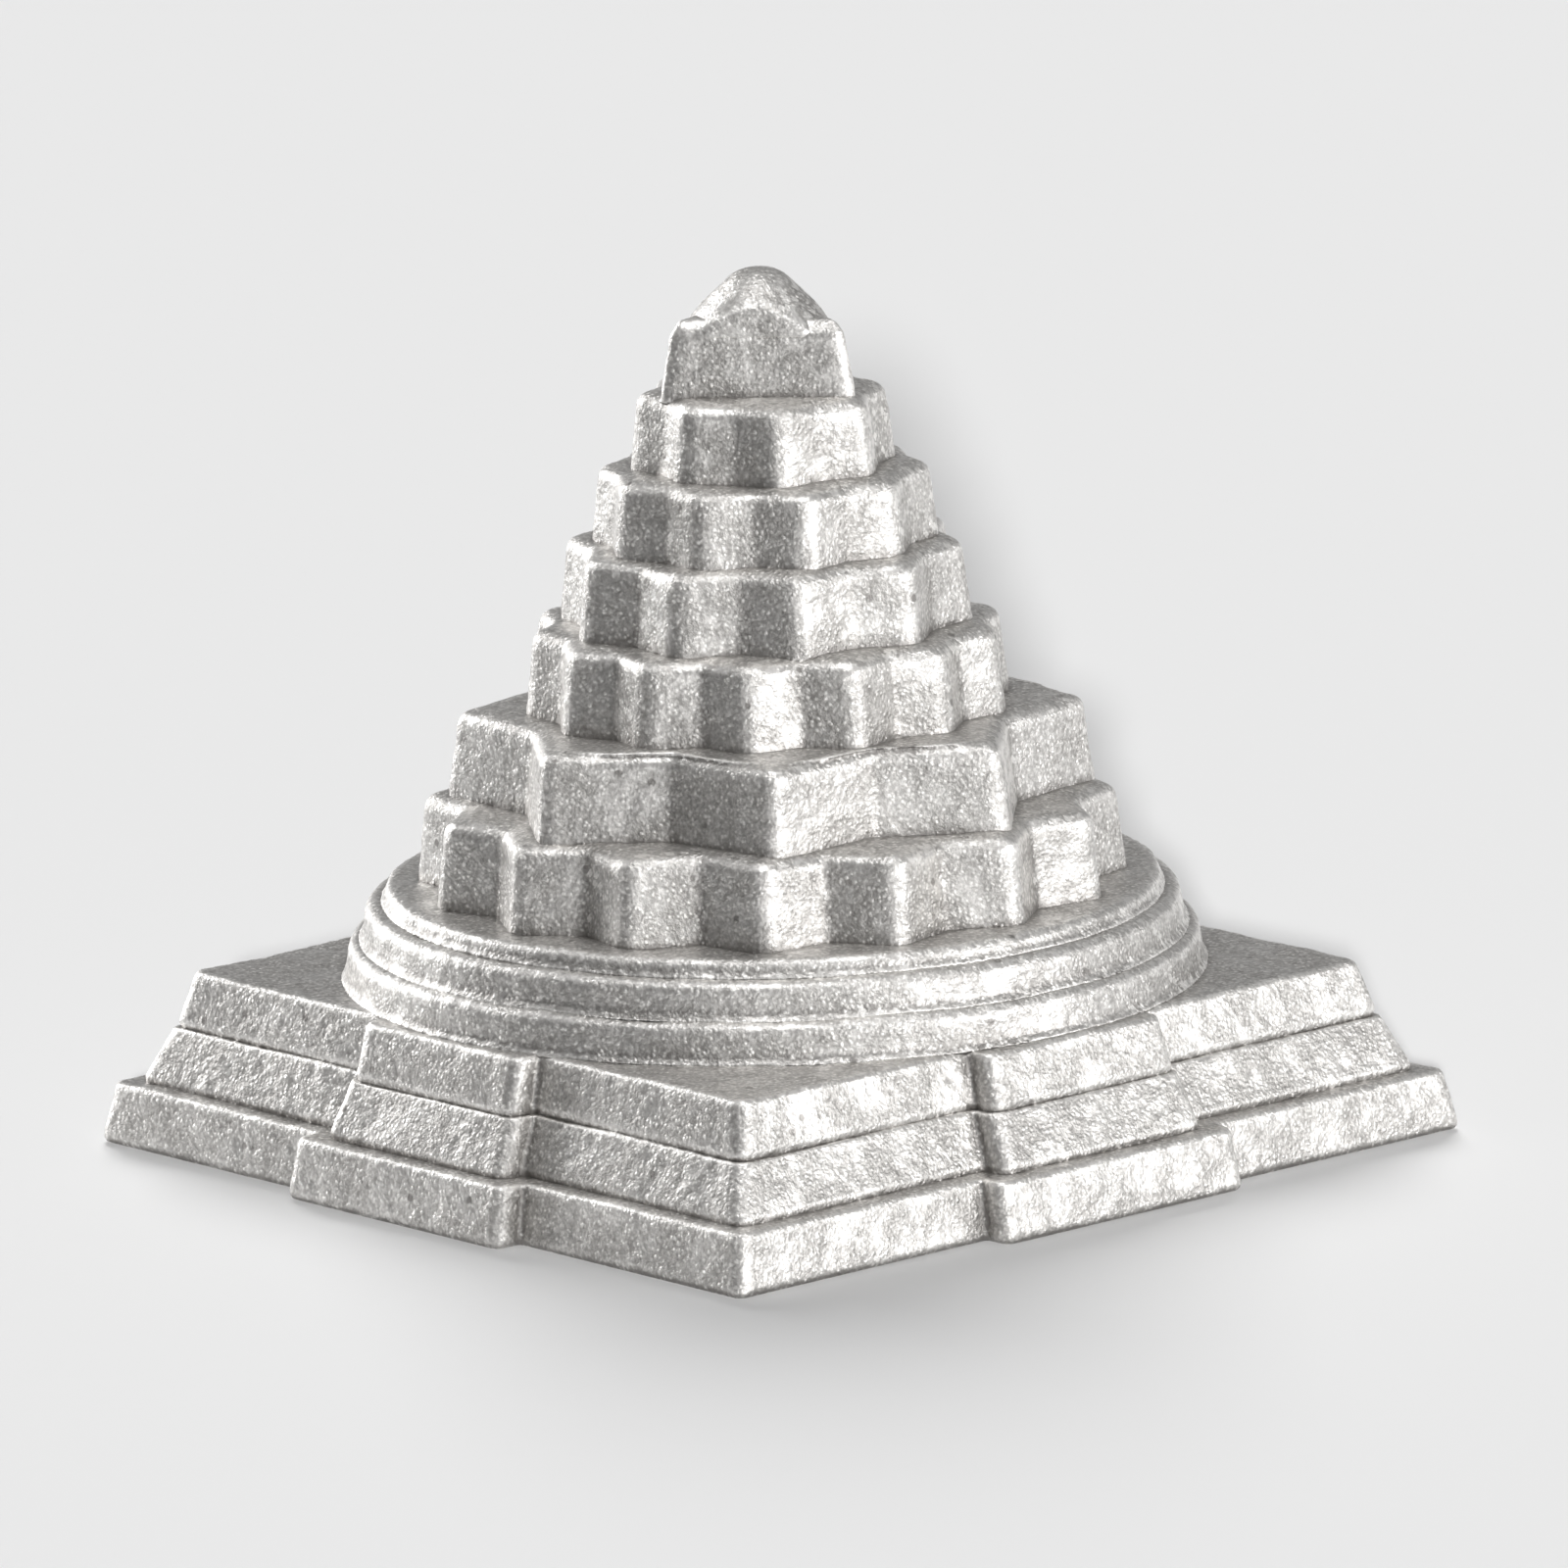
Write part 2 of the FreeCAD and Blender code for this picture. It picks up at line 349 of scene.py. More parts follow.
def pick(kind, test):
    """Selects the vertices, edges or faces in edit mode that pass a test, and counts them."""
    bpy.ops.mesh.select_mode(type=kind)
    bpy.ops.mesh.select_all(action="DESELECT")
    mesh = bpy.context.object.data
    edited = bmesh.from_edit_mesh(mesh)
    elements = {"VERT": edited.verts, "EDGE": edited.edges, "FACE": edited.faces}[kind]
    chosen = [element for element in elements if test(element)]
    for element in chosen:
        element.select_set(True)
    edited.select_flush_mode()
    bmesh.update_edit_mesh(mesh)
    return len(chosen)


def is_upright(edge):
    run = edge.verts[0].co - edge.verts[1].co
    return abs(run.z) > run.length / 2


def bounds_a_wall(edge):
    return any(abs(face.normal.z) < WALL for face in edge.link_faces)


def is_level(edge, level):
    near = 1e-4
    return all(abs(vertex.co.z - level) < near for vertex in edge.verts)


def resize_at(level, value):
    bpy.ops.transform.resize(value=value, center_override=(0.0, 0.0, level))


def raise_block(low, top):
    """Extrudes an outline that lies at one level up to another, and selects its upper end."""
    bpy.ops.mesh.extrude_region_move(TRANSFORM_OT_translate={"value": (0, 0, top - low)})
    bpy.ops.mesh.select_all(action="SELECT")
    bpy.ops.mesh.normals_make_consistent(inside=False)
    pick("VERT", lambda vertex: vertex.co.z > (low + top) / 2)


def bevel(offset, segments=BEVEL_STEPS):
    bpy.ops.mesh.bevel(offset=offset, segments=segments, affect="EDGES", clamp_overlap=True)


def slope_foot(foot, radius, reach):
    """Slopes the foot of a step out over the ledge below it. A reach below 0 cuts it in."""
    rise = bpy.context.scene.yantra_sizes.foot_rise
    bpy.ops.mesh.select_all(action="SELECT")
    bpy.ops.mesh.bisect(plane_co=(0, 0, foot + rise), plane_no=(0, 0, 1))
    pick("VERT", lambda vertex: vertex.co.z < foot + rise / 2)
    resize_at(foot, (1 + reach / radius, 1 + reach / radius, 1))


def slope_ledge(run, rise):
    """Lets the top of a block climb from its rim, as the loam of the mould was smoothed by hand."""
    pick("FACE", lambda face: face.normal.z > FACING)
    bpy.ops.mesh.inset(thickness=run, depth=rise)


# Finishing a casting

def apply_modifier(piece, kind, **settings):
    modifier = piece.modifiers.new(kind.lower(), kind)
    for name, value in settings.items():
        setattr(modifier, name, value)
    bpy.ops.object.modifier_apply(modifier=modifier.name)


def press(piece, name, width, height):
    """Presses a pattern of soft lumps of one width and height into the skin."""
    texture = bpy.data.textures.get(name) or bpy.data.textures.new(name, "CLOUDS")
    texture.noise_scale = width
    texture.noise_depth = 1
    apply_modifier(
        piece, "DISPLACE", texture=texture, texture_coords="LOCAL", direction="NORMAL",
        strength=height, mid_level=RELIEF_MIDDLE, vertex_group="skin",
    )


def cast(piece, node, seat, softening=SOFTENING):
    """Gives a modelled block the skin of a sand casting, and puts it in its CAD node's place.

    seat tells whether a plan point lies under the piece above, where nothing shows. A higher
    softening rounds off the edges more.
    """
    sizes = bpy.context.scene.yantra_sizes
    foot, height = foot_and_height(node)
    top = foot + height
    pitch = sizes.mesh_pitch
    bpy.ops.object.mode_set(mode="OBJECT")
    apply_modifier(piece, "REMESH", mode="VOXEL", voxel_size=pitch)
    apply_modifier(piece, "SMOOTH", factor=0.5, iterations=softening)

    def is_hidden(face):
        middle = face.calc_center_median()
        if face.normal.z < -FACING:
            return middle.z < foot + pitch
        return face.normal.z > FACING and middle.z > top - pitch and seat(middle)

    bpy.ops.object.mode_set(mode="EDIT")
    if pick("FACE", is_hidden):
        bpy.ops.mesh.dissolve_faces()
    # The hidden seats are now single faces of many sides, and all the rest is skin.
    pick("VERT", lambda vertex: all(len(face.verts) < 5 for face in vertex.link_faces))
    bpy.ops.object.vertex_group_add()
    piece.vertex_groups.active.name = "skin"
    bpy.ops.object.vertex_group_assign()
    bpy.ops.object.mode_set(mode="OBJECT")

    press(piece, "casting_waves", sizes.wave_size, sizes.wave_height)
    press(piece, "casting_lumps", sizes.lump_size, sizes.lump_height)

    bpy.ops.object.mode_set(mode="EDIT")
    bpy.ops.mesh.select_all(action="SELECT")
    resize_at(0.0, (1 / MM_PER_M,) * 3)
    bpy.ops.object.mode_set(mode="OBJECT")
    bpy.ops.object.shade_smooth()
    piece.vertex_groups.clear()
    piece.data.materials.clear()
    piece.data.materials.append(silver_material())
    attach(piece, "root")
    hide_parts(node)


# Materials

def linear(hex_colour):
    """An sRGB hex value as linear red, green, blue and alpha."""
    channels = [int(hex_colour[i:i + 2], 16) / 255 for i in (1, 3, 5)]
    return [
        c / 12.92 if c <= 0.04045 else ((c + 0.055) / 1.055) ** 2.4 for c in channels
    ] + [1.0]


def add_node(tree, kind, links=(), **settings):
    """Adds a shader node. A setting is a property or an input socket, and a link joins an input
    of this node, by name or number, to an output of another."""
    node = tree.nodes.new(kind)
    for name, value in settings.items():
        if hasattr(node, name):
            setattr(node, name, value)
        else:
            node.inputs[name.replace("_", " ")].default_value = value
    for socket, source in links:
        tree.links.new(source, node.inputs[socket])
    return node


def new_material(name):
    material = bpy.data.materials.new(name)
    material.use_nodes = True
    material.node_tree.nodes.clear()
    return material, material.node_tree


def silver_material():
    """Sand-cast silver, left as it came from the mould: a frosty white metal whose skin is packed
    with tiny rounded grains, deeper in some patches than in others. Its edges are worn bright and
    carry a painted highlight, its grain tops carry painted glints, and its hollows, corners and the
    joins between pieces are darkened with painted shade, while its gas pits are dull grey."""
    material = bpy.data.materials.get("sand_cast_silver")
    if material:
        return material
    colours = bpy.context.scene.yantra_colours
    sizes = bpy.context.scene.yantra_sizes
    material, tree = new_material("sand_cast_silver")
    place = add_node(tree, "ShaderNodeTexCoord").outputs["Object"]
    in_mm = add_node(
        tree, "ShaderNodeMapping", [("Vector", place)], Scale=(MM_PER_M,) * 3
    ).outputs["Vector"]

    # Rounded grains of chance height with finer dust between them, deeper in some patches.
    patches = add_node(
        tree, "ShaderNodeTexNoise", [("Vector", in_mm)],
        Scale=1 / sizes.patch_size, Detail=4.0, Roughness=0.6,
    )
    sanded = add_node(
        tree, "ShaderNodeMapRange", [("Value", patches.outputs["Fac"])],
        From_Min=0.4, From_Max=0.58, To_Min=0.4, To_Max=1.0,
    )
    grains = add_node(
        tree, "ShaderNodeTexVoronoi", [("Vector", in_mm)], Scale=1 / sizes.grain_size
    )
    chance = add_node(
        tree, "ShaderNodeSeparateColor", [("Color", grains.outputs["Color"])]
    )
    bead_height = add_node(
        tree, "ShaderNodeMapRange", [("Value", chance.outputs["Red"])], To_Min=0.1, To_Max=0.6
    )
    bead = add_node(
        tree, "ShaderNodeMapRange",
        [("Value", grains.outputs["Distance"]), ("To Min", bead_height.outputs["Result"])],
        interpolation_type="SMOOTHSTEP", From_Min=0.0, From_Max=0.6, To_Max=0.0,
    )
    dust = add_node(
        tree, "ShaderNodeTexNoise", [("Vector", in_mm)],
        Scale=DUST_PER_GRAIN / sizes.grain_size, Detail=3.0, Roughness=0.6,
    )
    grit = add_node(
        tree, "ShaderNodeMath",
        [(0, bead.outputs["Result"]), (1, dust.outputs["Fac"])], operation="ADD",
    )
    relief_height = add_node(
        tree, "ShaderNodeMath",
        [(0, grit.outputs[0]), (1, sanded.outputs["Result"])], operation="MULTIPLY",
    )
    rough_skin = add_node(
        tree, "ShaderNodeBump", [("Height", relief_height.outputs[0])],
        Strength=1.0, Distance=sizes.grain_height / MM_PER_M,
    )

    # How bright the metal's colour is: edges are worn bright with a painted highlight and hollows get
    # painted shade, grain tops are worn bright with painted glints and the gaps between them get
    # painted shade, patches differ in tone at random, the corners between faces and pieces get
    # painted shade, and gas pits stay dull.
    # Pointiness: the colour is lighter on convex edges, as worn silver with a painted highlight, and
    # darker in concave hollows, as painted shade.
    edges = add_node(tree, "ShaderNodeNewGeometry")
    edge_wear_sheen_and_hollow_shade = add_node(
        tree, "ShaderNodeMapRange", [("Value", edges.outputs["Pointiness"])],
        From_Min=0.48, From_Max=0.54, To_Min=-0.3, To_Max=0.7,
    )
    # Higher grain is coloured lighter, as worn tops with painted glints, and the low gaps between
    # grains darker, as painted shade.
    grain_wear_glints_and_shade = add_node(
        tree, "ShaderNodeMapRange", [("Value", grit.outputs[0])],
        From_Min=0.42, From_Max=0.95, To_Min=0.14, To_Max=1.0,
    )
    mottle = add_node(
        tree, "ShaderNodeMapRange", [("Value", patches.outputs["Fac"])],
        From_Min=0.4, From_Max=0.58, To_Min=0.2, To_Max=-0.03,
    )
    # Ambient occlusion colours corners and the joins between pieces darker: painted shade.
    corners = add_node(
        tree, "ShaderNodeAmbientOcclusion", samples=6, Distance=sizes.crevice_shade_reach / MM_PER_M
    )
    painted_crevice_shade = add_node(
        tree, "ShaderNodeMapRange", [("Value", corners.outputs["AO"])],
        From_Min=0.45, From_Max=0.85, To_Min=-0.85, To_Max=0.0,
    )
    pits = add_node(
        tree, "ShaderNodeTexVoronoi", [("Vector", in_mm)], Scale=1 / sizes.pit_spacing
    )
    pit = add_node(
        tree, "ShaderNodeMapRange", [("Value", pits.outputs["Distance"])],
        From_Min=0.04, From_Max=0.1, To_Min=-1.0, To_Max=0.0,
    )
    # Sums of the marks above: worn edges and grain tops with painted highlights, random patches,
    # painted shade in corners and hollows, and dull gas pits.
    wear_with_painted_light = add_node(
        tree, "ShaderNodeMath",
        [(0, edge_wear_sheen_and_hollow_shade.outputs["Result"]), (1, grain_wear_glints_and_shade.outputs["Result"])], operation="ADD",
    )
    uneven = add_node(
        tree, "ShaderNodeMath",
        [(0, wear_with_painted_light.outputs[0]), (1, mottle.outputs["Result"])], operation="ADD",
    )
    crevice_shade_and_pits = add_node(
        tree, "ShaderNodeMath",
        [(0, painted_crevice_shade.outputs["Result"]), (1, pit.outputs["Result"])], operation="ADD",
    )
    cleanness_and_painted_light = add_node(
        tree, "ShaderNodeMath",
        [(0, uneven.outputs[0]), (1, crevice_shade_and_pits.outputs[0])], operation="ADD",
    )
    # The colour runs from the dark end, for dull pits and painted shade, to bright silver.
    colour = add_node(
        tree, "ShaderNodeMix", [("Factor", cleanness_and_painted_light.outputs[0])], data_type="RGBA"
    )
    colour.inputs[6].default_value = linear(colours.tarnish_and_shade)
    colour.inputs[7].default_value = linear(colours.silver)
    rough = add_node(
        tree, "ShaderNodeMapRange", [("Value", sanded.outputs["Result"])],
        From_Min=0.4, From_Max=1.0, To_Min=0.37, To_Max=0.45,
    )
    skin = add_node(
        tree, "ShaderNodeBsdfPrincipled",
        [
            ("Base Color", colour.outputs[2]),
            ("Roughness", rough.outputs["Result"]),
            ("Normal", rough_skin.outputs["Normal"]),
        ],
        Metallic=1.0,
    )
    add_node(tree, "ShaderNodeOutputMaterial", [("Surface", skin.outputs["BSDF"])])
    return material


def matt_material(name, colour):
    """Matt board or paper: no gloss, so it shows only as an even tone."""
    material, tree = new_material(name)
    skin = add_node(tree, "ShaderNodeBsdfDiffuse", Color=linear(colour))
    add_node(tree, "ShaderNodeOutputMaterial", [("Surface", skin.outputs["BSDF"])])
    return material


# Pieces

def circle_seat(node):
    """A test of whether a plan point lies under a round or star-shaped node."""
    radius = min(plan_radius(point) for point in foot_points(node)) - SEAT_MARGIN
    return lambda point: plan_radius(point) < radius


def square_seat(node):
    """A test of whether a plan point lies under a square node."""
    half = square_plan(node)[0] - SEAT_MARGIN
    return lambda point: max(abs(point.x), abs(point.y)) < half


def square_plan(node):
    """Half the side and half the gate's width of a square step at its foot, in millimetres."""
    points = foot_points(node)
    front = max(abs(point.x) for point in points)
    corners = [p for p in points if min(abs(p.x), abs(p.y)) > front / 2]
    half = max(abs(p.x) for p in corners)
    on_gate = [p for p in points if abs(p.x) > (half + front) / 2]
    return half, max(abs(p.y) for p in on_gate)


def above(node):
    return STACK[STACK.index(node) + 1]


def begin(node):
    """Names the primitive that was just added after its node and opens it in edit mode."""
    piece = bpy.context.object
    piece.name = node + "_casting"
    piece.data.name = piece.name
    bpy.ops.object.transform_apply(location=True, rotation=True, scale=True)
    bpy.ops.object.mode_set(mode="EDIT")
    return piece


class YANTRA_OT_square_step(Operator):
    """Cast one square step of the base, with a gate in the middle of each side"""
    bl_idname = "yantra.square_step"
    bl_label = "Square step"

    node: StringProperty(name="Node", description="CAD node that the step stands for")

    def execute(self, context):
        sizes = context.scene.yantra_sizes
        foot, height = foot_and_height(self.node)
        top = foot + height
        sunk = 0.0 if self.node == STACK[0] else sizes.seat_depth
        half, gate = square_plan(self.node)
        front = max(abs(point.x) for point in foot_points(self.node))
        deselect_everything()
        bpy.ops.mesh.primitive_cube_add(
            size=1, location=(0, 0, foot + height / 2), scale=(2 * half, 2 * half, height)
        )
        piece = begin(self.node)
        for axis in (Vector((1, 0, 0)), Vector((0, 1, 0))):
            for side in (-gate, gate):
                bpy.ops.mesh.select_all(action="SELECT")
                bpy.ops.mesh.bisect(plane_co=axis * side, plane_no=axis)
        for axis in (Vector((1, 0, 0)), Vector((0, 1, 0))):
            for way in (axis, -axis):
                pick("FACE", lambda face: face.normal.dot(way) > FACING
                     and abs(place_of(face).dot(UP.cross(way))) < gate)
                bpy.ops.mesh.extrude_region_move(
                    TRANSFORM_OT_translate={"value": way * (front - half)}
                )
        pick("VERT", lambda vertex: vertex.co.z > foot + height / 2)
        rim_share = 1 - lean_of(self.node) * height / half
        resize_at(top, (rim_share, rim_share, 1))
        pick("VERT", lambda vertex: vertex.co.z < foot + height / 2)
        bpy.ops.transform.translate(value=(0, 0, -sunk))

        def corner(edge):
            place = place_of(edge)
            return is_upright(edge) and min(abs(place.x), abs(place.y)) > (gate + half) / 2

        def gate_corner(edge):
            place = place_of(edge)
            middle_share = (1 + rim_share) / 2
            farthest = max(abs(place.x), abs(place.y))
            return is_upright(edge) and farthest > middle_share * (front + half) / 2

        pick("EDGE", corner)
        bevel(sizes.corner_round)
        pick("EDGE", gate_corner)
        bevel(sizes.gate_round)
        pick("EDGE", lambda edge: is_level(edge, top) and bounds_a_wall(edge))
        bevel(sizes.square_round)
        if self.node == STACK[0]:
            pick("EDGE", lambda edge: is_level(edge, foot) and bounds_a_wall(edge))
            bevel(sizes.rim_round)
        else:
            slope_foot(foot, half, -sizes.groove_depth)
        seat = square_seat if above(self.node) in SQUARE_STEPS else circle_seat
        cast(piece, self.node, seat(above(self.node)))
        return {"FINISHED"}


class YANTRA_OT_round_step(Operator):
    """Cast one of the three circles"""
    bl_idname = "yantra.round_step"
    bl_label = "Round step"

    node: StringProperty(name="Node", description="CAD node that the circle stands for")

    def execute(self, context):
        sizes = context.scene.yantra_sizes
        foot, height = foot_and_height(self.node)
        top = foot + height
        radius = max(plan_radius(point) for point in foot_points(self.node))
        low = foot - sizes.seat_depth
        deselect_everything()
        bpy.ops.mesh.primitive_circle_add(
            vertices=ROUND_SIDES, radius=radius, fill_type="NGON", location=(0, 0, low)
        )
        piece = begin(self.node)
        raise_block(low, top)
        rim_share = 1 - lean_of(self.node) * height / radius
        resize_at(top, (rim_share, rim_share, 1))
        pick("EDGE", lambda edge: is_level(edge, top))
        bevel(min(sizes.step_round, height / 2))
        slope_foot(foot, radius, sizes.foot_reach)
        cast(piece, self.node, circle_seat(above(self.node)))
        return {"FINISHED"}


class YANTRA_OT_star_tier(Operator):
    """Cast one star-shaped tier, each tip a little out of place as cut by hand"""
    bl_idname = "yantra.star_tier"
    bl_label = "Star tier"

    node: StringProperty(name="Node", description="CAD node that the tier stands for")
    tips: IntProperty(name="Tips", description="How many tips the star has", default=8, min=3)

    def execute(self, context):
        sizes = context.scene.yantra_sizes
        foot, height = foot_and_height(self.node)
        top = foot + height
        radii = [plan_radius(point) for point in foot_points(self.node)]
        # The bevel takes a little off the tips.
        tip = max(radii) + sizes.tip_round / 5
        notch = min(radii)
        turn = turn_of(self.node, self.tips)
        low = foot - sizes.seat_depth
        deselect_everything()
        bpy.ops.mesh.primitive_circle_add(
            vertices=2 * self.tips, radius=tip, fill_type="NGON",
            location=(0, 0, low), rotation=(0, 0, turn - math.pi / 2),
        )
        piece = begin(self.node)

        def round_from_tip(place):
            """1 in line with a tip, and -1 in line with a notch."""
            return math.cos(self.tips * (math.atan2(place.y, place.x) - turn))

        pick("VERT", lambda vertex: round_from_tip(vertex.co) < 0)
        resize_at(foot, (notch / tip, notch / tip, 1))
        bpy.ops.mesh.select_all(action="SELECT")
        raise_block(low, top)
        rim_share = 1 - lean_of(self.node) * height / tip
        resize_at(top, (rim_share, rim_share, 1))

        chance = random.Random(self.node)
        one_tip = 0.3 / self.tips
        for i in range(self.tips):
            toward = turn + math.tau * i / self.tips
            column = Vector((math.cos(toward), math.sin(toward)))
            pick("VERT", lambda vertex: vertex.co.to_2d().angle(column) < one_tip)
            stray = [chance.uniform(-sizes.wobble, sizes.wobble) for _ in range(2)]
            bpy.ops.transform.translate(value=(stray[0], stray[1], 0))

        pick("EDGE", lambda edge: is_upright(edge) and round_from_tip(place_of(edge)) > 0)
        bevel(sizes.tip_round)
        pick("EDGE", lambda edge: is_upright(edge) and round_from_tip(place_of(edge)) < -0.5)
        bevel(sizes.notch_round)
        slope_ledge(sizes.ledge_run, sizes.ledge_rise)
        pick("EDGE", lambda edge: is_level(edge, top))
        bevel(sizes.rim_round)
        cast(piece, self.node, circle_seat(above(self.node)))
        return {"FINISHED"}


class YANTRA_OT_triangle(Operator):
    """Cast the triangle under the dome"""
    bl_idname = "yantra.triangle"
    bl_label = "Triangle"

    node: StringProperty(name="Node", description="CAD node of the triangle", default="triangle_tier")

    def execute(self, context):
        sizes = context.scene.yantra_sizes
        foot, height = foot_and_height(self.node)
        top = foot + height
        points = foot_points(self.node)
        turn = turn_of(self.node, 3)
        face = min(plan_radius(point) for point in points)
        low = foot - sizes.seat_depth
        deselect_everything()
        bpy.ops.mesh.primitive_circle_add(
            vertices=3, radius=triangle_reach(), fill_type="NGON",
            location=(0, 0, low), rotation=(0, 0, turn - math.pi / 2),
        )
        piece = begin(self.node)
        raise_block(low, top)
        rim_share = 1 - lean_of(self.node) * height / triangle_reach()
        resize_at(top, (rim_share, rim_share, 1))
        slope_ledge(sizes.shoulder_run, sizes.shoulder_rise)
        pick("EDGE", is_upright)
        bevel(sizes.triangle_round / math.tan(math.pi / 6), segments=TRIANGLE_BEVEL_STEPS)
        pick("EDGE", lambda edge: is_level(edge, top))
        bevel(sizes.step_round)
        cast(
            piece, self.node, lambda point: plan_radius(point) < face / 2,
            softening=TRIANGLE_SOFTENING,
        )
        return {"FINISHED"}


def triangle_reach():
    """Radius of the triangle's sharp tips at the foot: twice the distance to its faces."""
    points = foot_points("triangle_tier")
    turn = turn_of("triangle_tier", 3)
    outward = Vector((math.cos(turn), math.sin(turn), 0))
    return -2 * min(point.dot(outward) for point in points)


class YANTRA_OT_dome(Operator):
    """Cast the dome at the top, cut off by the three faces of the triangle"""
    bl_idname = "yantra.dome"
    bl_label = "Dome"

    node: StringProperty(name="Node", description="CAD node of the dome", default="bindu_dome")
    rings: IntProperty(name="Rings", description="Steps over the ball at its tip", default=6, min=2)

    def execute(self, context):
        sizes = context.scene.yantra_sizes
        foot, height = foot_and_height(self.node)
        top = foot + height
        radius = max(plan_radius(point) for point in foot_points(self.node))
        # It runs down past the triangle's rounded rim, so that the two faces look like one.
        low = foot - sizes.step_round
        deselect_everything()
        bpy.ops.mesh.primitive_circle_add(
            vertices=DOME_SIDES, radius=radius, fill_type="NGON", location=(0, 0, low)
        )
        piece = begin(self.node)
        raise_block(low, foot)
        wide, level = radius, foot
        flank = math.atan2(radius, height)
        for i in range(self.rings):
            slant = flank * (1 - i / self.rings)
            ring = sizes.cap_radius * math.sin(slant)
            climbed = top - sizes.cap_radius * (1 - math.cos(slant))
            bpy.ops.mesh.extrude_region_move(
                TRANSFORM_OT_translate={"value": (0, 0, climbed - level)}
            )
            resize_at(climbed, (ring / wide, ring / wide, 1))
            wide, level = ring, climbed
        bpy.ops.mesh.select_all(action="SELECT")
        bpy.ops.mesh.normals_make_consistent(inside=False)
        turn = turn_of("triangle_tier", 3)
        # A face leans half as much as a tip, and the cut stands just proud of it.
        lean = lean_of("triangle_tier") / 2
        proud = sizes.seat_depth / 3
        reach = triangle_reach() / 2 - lean * foot_and_height("triangle_tier")[1] + proud
        for i in range(3):
            toward = turn + math.pi + math.tau * i / 3
            outward = Vector((math.cos(toward), math.sin(toward), 0))
            bpy.ops.mesh.select_all(action="SELECT")
            bpy.ops.mesh.bisect(
                plane_co=outward * reach + UP * foot, plane_no=outward + UP * lean,
                use_fill=True, clear_outer=True,
            )
        cast(piece, self.node, lambda point: False, softening=DOME_SOFTENING)
        return {"FINISHED"}


# Stage

class YantraStudio(PropertyGroup):
    camera_azimuth: FloatProperty(
        name="Camera azimuth", description="Angle round the yantra, from looking along +Y",
        default=math.radians(48.51), subtype="ANGLE",
    )
    camera_elevation: FloatProperty(
        name="Camera elevation", description="Angle above the floor",
        default=math.radians(12.6), subtype="ANGLE",
    )
    camera_roll: FloatProperty(
        name="Camera roll", description="Turn of the camera about its own axis",
        default=math.radians(-1.36), subtype="ANGLE",
    )
    camera_distance: FloatProperty(
        name="Camera distance", description="From the middle of the yantra",
        default=0.64, unit="LENGTH",
    )
    focal_length: FloatProperty(
        name="Focal length", description="Lens, in millimetres on a 36 mm sensor", default=444.7,
    )
    middle_height: FloatProperty(
        name="Middle height", description="Height that the camera turns round",
        default=0.0112, unit="LENGTH",
    )
    aim_right: FloatProperty(
        name="Aim right", description="How far right of the middle the camera looks",
        default=0.00044, unit="LENGTH",
    )
    aim_up: FloatProperty(
        name="Aim up", description="How far above the middle the camera looks",
        default=0.00071, unit="LENGTH",
    )


def direction(azimuth, elevation):
    """Unit vector towards a place in the studio; azimuth runs round from -Y towards +X."""
    return Vector((
        math.sin(azimuth) * math.cos(elevation),
        -math.cos(azimuth) * math.cos(elevation),
        math.sin(elevation),
    ))


def face_towards(item, target, roll=0.0):
    """Turns a lamp, a board or the camera to look at a point."""
    turn = (target - item.location).to_track_quat("-Z", "Y").to_euler()
    turn.rotate_axis("Z", roll)
    item.rotation_euler = turn


def softbox(name, azimuth, elevation, width, height, brightness):
    """A studio lamp that shows in the metal alone."""
    studio = bpy.context.scene.yantra_studio
    bpy.ops.object.light_add(type="AREA")
    lamp = bpy.context.object
    lamp.name = name
    lamp.data.shape = "RECTANGLE"
    lamp.data.size = width
    lamp.data.size_y = height
    lamp.data.energy = brightness * math.pi * width * height
    middle = Vector((0, 0, studio.middle_height))
    way = direction(studio.camera_azimuth + math.radians(azimuth), math.radians(elevation))
    lamp.location = middle + way * SOFTBOX_DISTANCE
    face_towards(lamp, middle)
    lamp.visible_diffuse = False


def far_light(name, azimuth, elevation, spread, strength):
    """A far lamp that lights the paper alone and evenly, and gives the yantra's shadow."""
    studio = bpy.context.scene.yantra_studio
    bpy.ops.object.light_add(type="SUN")
    lamp = bpy.context.object
    lamp.name = name
    lamp.data.angle = math.radians(spread)
    lamp.data.energy = strength
    lamp.location = direction(
        studio.camera_azimuth + math.radians(azimuth), math.radians(elevation)
    )
    face_towards(lamp, Vector(ORIGIN))
    lamp.visible_glossy = False


def darken(board, name, dark):
    """Names a board and lets it show in the metal alone."""
    board.name = name
    board.data.materials.append(dark)
    board.visible_camera = False
    board.visible_diffuse = False
    board.visible_shadow = False


